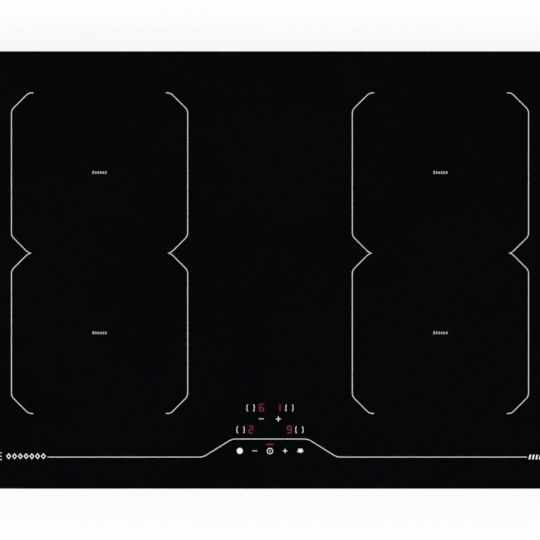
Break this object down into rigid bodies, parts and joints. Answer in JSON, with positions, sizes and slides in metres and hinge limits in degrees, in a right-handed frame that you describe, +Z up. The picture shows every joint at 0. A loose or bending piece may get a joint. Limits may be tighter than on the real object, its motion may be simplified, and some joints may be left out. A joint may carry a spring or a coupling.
{
  "type": "built-in induction hob",
  "caption": "Flat black glass-ceramic hob with bracket-marked cooking zones and touch controls, over a shallow steel tray that drops into a worktop cut-out.",
  "frame": {"origin": "centre of the tray's underside, which is the lowest plane of the hob", "axes": "+X to the right along the hob's width, +Y to the rear, +Z up out of the worktop; the touch controls are at -Y"},
  "size_m": [0.77, 0.52, 0.058],
  "materials": {
    "glass": "black glass-ceramic, fire-polished",
    "seal": "closed-cell foam tape",
    "frame_steel": "zinc-coated sheet",
    "tray_steel": "black coated sheet steel, satin",
    "mica": "pressed mica sheet",
    "aluminium": "mill finish",
    "coil_plastic": "glass-filled moulding",
    "copper": "enamelled copper",
    "spring_steel": "bright spring strip",
    "white_plastic": "moulded",
    "circuit_board": "solder resist over glass fibre board",
    "black_plastic": "moulded, fine texture",
    "zinc_steel": "zinc plated",
    "display": "dark red tinted",
    "silicone": "moulded silicone",
    "rubber": "moulded rubber"
  },
  "bodies": {
    "hob": {"base_tray": "tray_steel", "cable_grommet": "rubber", "coil_carrier_left": "aluminium", "coil_carrier_right": "aluminium", "coil_spring_front_left": "spring_steel", "coil_spring_front_right": "spring_steel", "coil_spring_rear_left": "spring_steel", "coil_spring_rear_right": "spring_steel", "display_front_left": "display", "display_front_right": "display", "display_rear_left": "display", "display_rear_right": "display", "fan_housing_left": "black_plastic", "fan_housing_right": "black_plastic", "fan_motor_left": "zinc_steel", "fan_motor_right": "zinc_steel", "filter_board": "circuit_board", "filter_choke": "copper", "glass_frame": "frame_steel", "glass_top": "glass", "heatsink_left": "aluminium", "heatsink_right": "aluminium", "key_contact_mat": "silicone", "mica_sheet_left": "mica", "mica_sheet_right": "mica", "power_board_left": "circuit_board", "power_board_right": "circuit_board", "ribbon_cable": "white_plastic", "rim_seal": "seal", "terminal_block": "white_plastic", "terminal_box": "black_plastic", "terminal_hinge_pin": "zinc_steel", "touch_board": "circuit_board", "touch_board_holder": "black_plastic", "tray_screw_1": "zinc_steel", "tray_screw_2": "zinc_steel", "tray_screw_3": "zinc_steel", "tray_screw_4": "zinc_steel", "tray_screw_5": "zinc_steel", "tray_screw_6": "zinc_steel"},
    "fan_left": {"fan_impeller_left": "black_plastic"},
    "fan_right": {"fan_impeller_right": "black_plastic"},
    "side_spring_front_left": {"side_spring_front_left": "spring_steel"},
    "side_spring_rear_left": {"side_spring_rear_left": "spring_steel"},
    "side_spring_front_right": {"side_spring_front_right": "spring_steel"},
    "side_spring_rear_right": {"side_spring_rear_right": "spring_steel"},
    "terminal_cover": {"terminal_cover": "black_plastic"},
    "coil_front_left": {"coil_former_front_left": "coil_plastic", "coil_winding_front_left": "copper", "temp_sensor_front_left": "white_plastic"},
    "coil_rear_left": {"coil_former_rear_left": "coil_plastic", "coil_winding_rear_left": "copper", "temp_sensor_rear_left": "white_plastic"},
    "coil_front_right": {"coil_former_front_right": "coil_plastic", "coil_winding_front_right": "copper", "temp_sensor_front_right": "white_plastic"},
    "coil_rear_right": {"coil_former_rear_right": "coil_plastic", "coil_winding_rear_right": "copper", "temp_sensor_rear_right": "white_plastic"}
  },
  "joints": [
    {"name": "fan_left_spin", "type": "hinge", "parent": "hob", "child": "fan_left", "pos_m": [-0.2205, 0.132, 0.015], "axis": [0, 0, 1], "continuous": true},
    {"name": "fan_right_spin", "type": "hinge", "parent": "hob", "child": "fan_right", "pos_m": [0.1845, 0.132, 0.015], "axis": [0, 0, 1], "continuous": true},
    {"name": "coil_front_left_press", "type": "slide", "parent": "hob", "child": "coil_front_left", "axis": [0, 0, 1], "range_m": [-0.002, 0], "stiffness_N_per_m": 5000, "springref_m": 0.004, "deforming": ["coil_spring_front_left"]},
    {"name": "coil_rear_left_press", "type": "slide", "parent": "hob", "child": "coil_rear_left", "axis": [0, 0, 1], "range_m": [-0.002, 0], "stiffness_N_per_m": 5000, "springref_m": 0.004, "deforming": ["coil_spring_rear_left"]},
    {"name": "coil_front_right_press", "type": "slide", "parent": "hob", "child": "coil_front_right", "axis": [0, 0, 1], "range_m": [-0.002, 0], "stiffness_N_per_m": 5000, "springref_m": 0.004, "deforming": ["coil_spring_front_right"]},
    {"name": "coil_rear_right_press", "type": "slide", "parent": "hob", "child": "coil_rear_right", "axis": [0, 0, 1], "range_m": [-0.002, 0], "stiffness_N_per_m": 5000, "springref_m": 0.004, "deforming": ["coil_spring_rear_right"]},
    {"name": "side_spring_front_left_flex", "type": "hinge", "parent": "hob", "child": "side_spring_front_left", "pos_m": [-0.3695, -0.15, 0.008], "axis": [0, 1, 0], "range_deg": [0, 10], "stiffness_Nm_per_rad": 1.5, "springref_deg": -5.73},
    {"name": "side_spring_rear_left_flex", "type": "hinge", "parent": "hob", "child": "side_spring_rear_left", "pos_m": [-0.3695, 0.15, 0.008], "axis": [0, 1, 0], "range_deg": [0, 10], "stiffness_Nm_per_rad": 1.5, "springref_deg": -5.73},
    {"name": "side_spring_front_right_flex", "type": "hinge", "parent": "hob", "child": "side_spring_front_right", "pos_m": [0.3695, -0.15, 0.008], "axis": [0, -1, 0], "range_deg": [0, 10], "stiffness_Nm_per_rad": 1.5, "springref_deg": -5.73},
    {"name": "side_spring_rear_right_flex", "type": "hinge", "parent": "hob", "child": "side_spring_rear_right", "pos_m": [0.3695, 0.15, 0.008], "axis": [0, -1, 0], "range_deg": [0, 10], "stiffness_Nm_per_rad": 1.5, "springref_deg": -5.73},
    {"name": "terminal_cover_hinge", "type": "hinge", "parent": "hob", "child": "terminal_cover", "pos_m": [0.046, 0.1651, 0.0025], "axis": [-1, 0, 0], "range_deg": [0, 90]}
  ]
}
